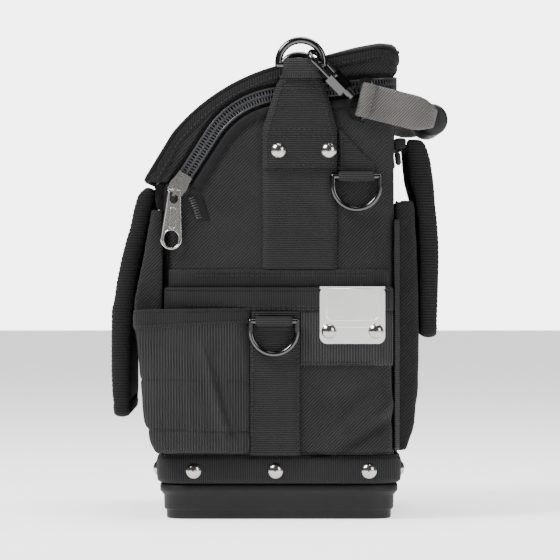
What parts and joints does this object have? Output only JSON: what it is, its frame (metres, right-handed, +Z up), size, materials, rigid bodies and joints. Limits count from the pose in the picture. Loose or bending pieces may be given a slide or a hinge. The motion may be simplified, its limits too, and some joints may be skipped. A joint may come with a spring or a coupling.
{
  "type": "electrician tool pouch",
  "caption": "Tall soft tool bag on a moulded tray, with a zipped lid, front and rear flaps, side pockets, hanging rings and a clip-on handle.",
  "frame": {"origin": "middle of the tray's footprint, on the plane it stands on", "axes": "+Z up, -Y to the front of the bag, +X to the side that carries the tape clip"},
  "size_m": [0.2474, 0.2357, 0.3288],
  "materials": {
    "base_plastic": "moulded satin with a fine texture",
    "board": "ribbed board",
    "webbing": "ribbed nylon webbing",
    "zip_coil": "satin nylon coil",
    "nickel": "polished nickel plate",
    "twill": "heavy ballistic nylon weave",
    "hook_and_loop": "fuzzy hook and loop tape",
    "badge_rubber": "satin moulded rubber",
    "gunmetal": "dark nickel plate",
    "grey_webbing": "grey woven strap",
    "grip_rubber": "matte moulded rubber"
  },
  "bodies": {
    "bag": {"base_tray": "base_plastic", "floor_board": "board", "bottom_band": "webbing", "base_rivets": "nickel", "side_panel_right": "twill", "side_panel_left": "twill", "front_panel": "twill", "rear_panel": "twill", "rear_stiffener": "board", "centre_divider": "twill", "divider_tool_loops": "webbing", "body_zip_tape": "webbing", "body_zip_coil": "zip_coil", "zip_tails": "webbing", "side_bands": "webbing", "side_pocket_right": "twill", "side_pocket_left": "twill", "pocket_bindings": "webbing", "side_webbings": "webbing", "tool_pocket_right": "webbing", "tool_pocket_left": "webbing", "ring_strap_right": "webbing", "ring_strap_left": "webbing", "strap_rivets": "nickel", "accessory_tabs": "webbing", "tape_clip": "nickel", "tape_clip_rivets": "nickel", "front_pocket": "twill", "front_loop_patch": "hook_and_loop", "front_flap_yoke": "webbing", "rear_pocket": "twill", "rear_flap_yoke": "webbing", "rear_bindings": "webbing"},
    "lid": {"lid_shell": "twill", "lid_binding": "webbing", "lid_zip_tape": "webbing", "lid_zip_coil": "zip_coil"},
    "front_flap": {"front_flap": "twill", "front_flap_binding": "webbing", "front_flap_badge": "badge_rubber", "front_flap_snap": "nickel", "front_hook_patch": "hook_and_loop"},
    "rear_flap": {"rear_flap": "twill", "rear_flap_binding": "webbing"},
    "zip_slider": {"zip_slider": "nickel"},
    "zip_pull": {"zip_pull": "nickel"},
    "strap_ring_right": {"strap_ring_right": "gunmetal"},
    "strap_ring_left": {"strap_ring_left": "gunmetal"},
    "upper_dring_right": {"upper_dring_right": "gunmetal"},
    "upper_dring_left": {"upper_dring_left": "gunmetal"},
    "lower_dring_right": {"lower_dring_right": "gunmetal"},
    "lower_dring_left": {"lower_dring_left": "gunmetal"},
    "handle": {"snap_hooks": "gunmetal", "hook_eyes": "gunmetal", "handle_strap": "grey_webbing", "handle_grip": "grip_rubber"},
    "hook_bolt_right": {"hook_bolt_right": "gunmetal"},
    "hook_bolt_left": {"hook_bolt_left": "gunmetal"}
  },
  "joints": [
    {"name": "lid_hinge", "type": "hinge", "parent": "bag", "child": "lid", "pos_m": [0, -0.094, 0.23], "axis": [1, 0, 0], "range_deg": [0, 95]},
    {"name": "front_flap_hinge", "type": "hinge", "parent": "bag", "child": "front_flap", "pos_m": [0, -0.0913, 0.222], "axis": [1, 0, 0], "range_deg": [-90, 0]},
    {"name": "rear_flap_hinge", "type": "hinge", "parent": "bag", "child": "rear_flap", "pos_m": [0, 0.091, 0.257], "axis": [1, 0, 0], "range_deg": [0, 62]},
    {"name": "slider_travel", "type": "slide", "parent": "bag", "child": "zip_slider", "axis": [0, 0.5402, 0.8415], "range_m": [0, 0.028]},
    {"name": "pull_swing", "type": "hinge", "parent": "zip_slider", "child": "zip_pull", "pos_m": [0.1066, -0.07265, 0.225], "axis": [0, -0.9978, 0.0663], "range_deg": [0, 90]},
    {"name": "strap_ring_right_swing", "type": "hinge", "parent": "bag", "child": "strap_ring_right", "pos_m": [0.1136, 0.0135, 0.3098], "axis": [0, 1, 0], "range_deg": [-2, 2]},
    {"name": "upper_dring_right_swing", "type": "hinge", "parent": "bag", "child": "upper_dring_right", "pos_m": [0.1084, 0.0514, 0.234], "axis": [0, -1, 0], "range_deg": [0, 100]},
    {"name": "lower_dring_right_swing", "type": "hinge", "parent": "bag", "child": "lower_dring_right", "pos_m": [0.1167, -0.0048, 0.1353], "axis": [0, -1, 0], "range_deg": [0, 100]},
    {"name": "strap_ring_left_swing", "type": "hinge", "parent": "bag", "child": "strap_ring_left", "pos_m": [-0.1136, 0.0135, 0.3098], "axis": [0, 1, 0], "range_deg": [-2, 2]},
    {"name": "upper_dring_left_swing", "type": "hinge", "parent": "bag", "child": "upper_dring_left", "pos_m": [-0.1084, 0.0514, 0.234], "axis": [0, 1, 0], "range_deg": [0, 100]},
    {"name": "lower_dring_left_swing", "type": "hinge", "parent": "bag", "child": "lower_dring_left", "pos_m": [-0.1167, -0.0048, 0.1353], "axis": [0, 1, 0], "range_deg": [0, 100]},
    {"name": "handle_lift", "type": "hinge", "parent": "bag", "child": "handle", "pos_m": [0, 0.0135, 0.3111], "axis": [1, 0, 0], "range_deg": [0, 90]},
    {"name": "hook_bolt_right_slide", "type": "slide", "parent": "handle", "child": "hook_bolt_right", "axis": [0, 0.6947, -0.7193], "range_m": [0, 0.0085], "stiffness_N_per_m": 60},
    {"name": "hook_bolt_left_slide", "type": "slide", "parent": "handle", "child": "hook_bolt_left", "axis": [0, 0.6947, -0.7193], "range_m": [0, 0.0085], "stiffness_N_per_m": 60}
  ]
}
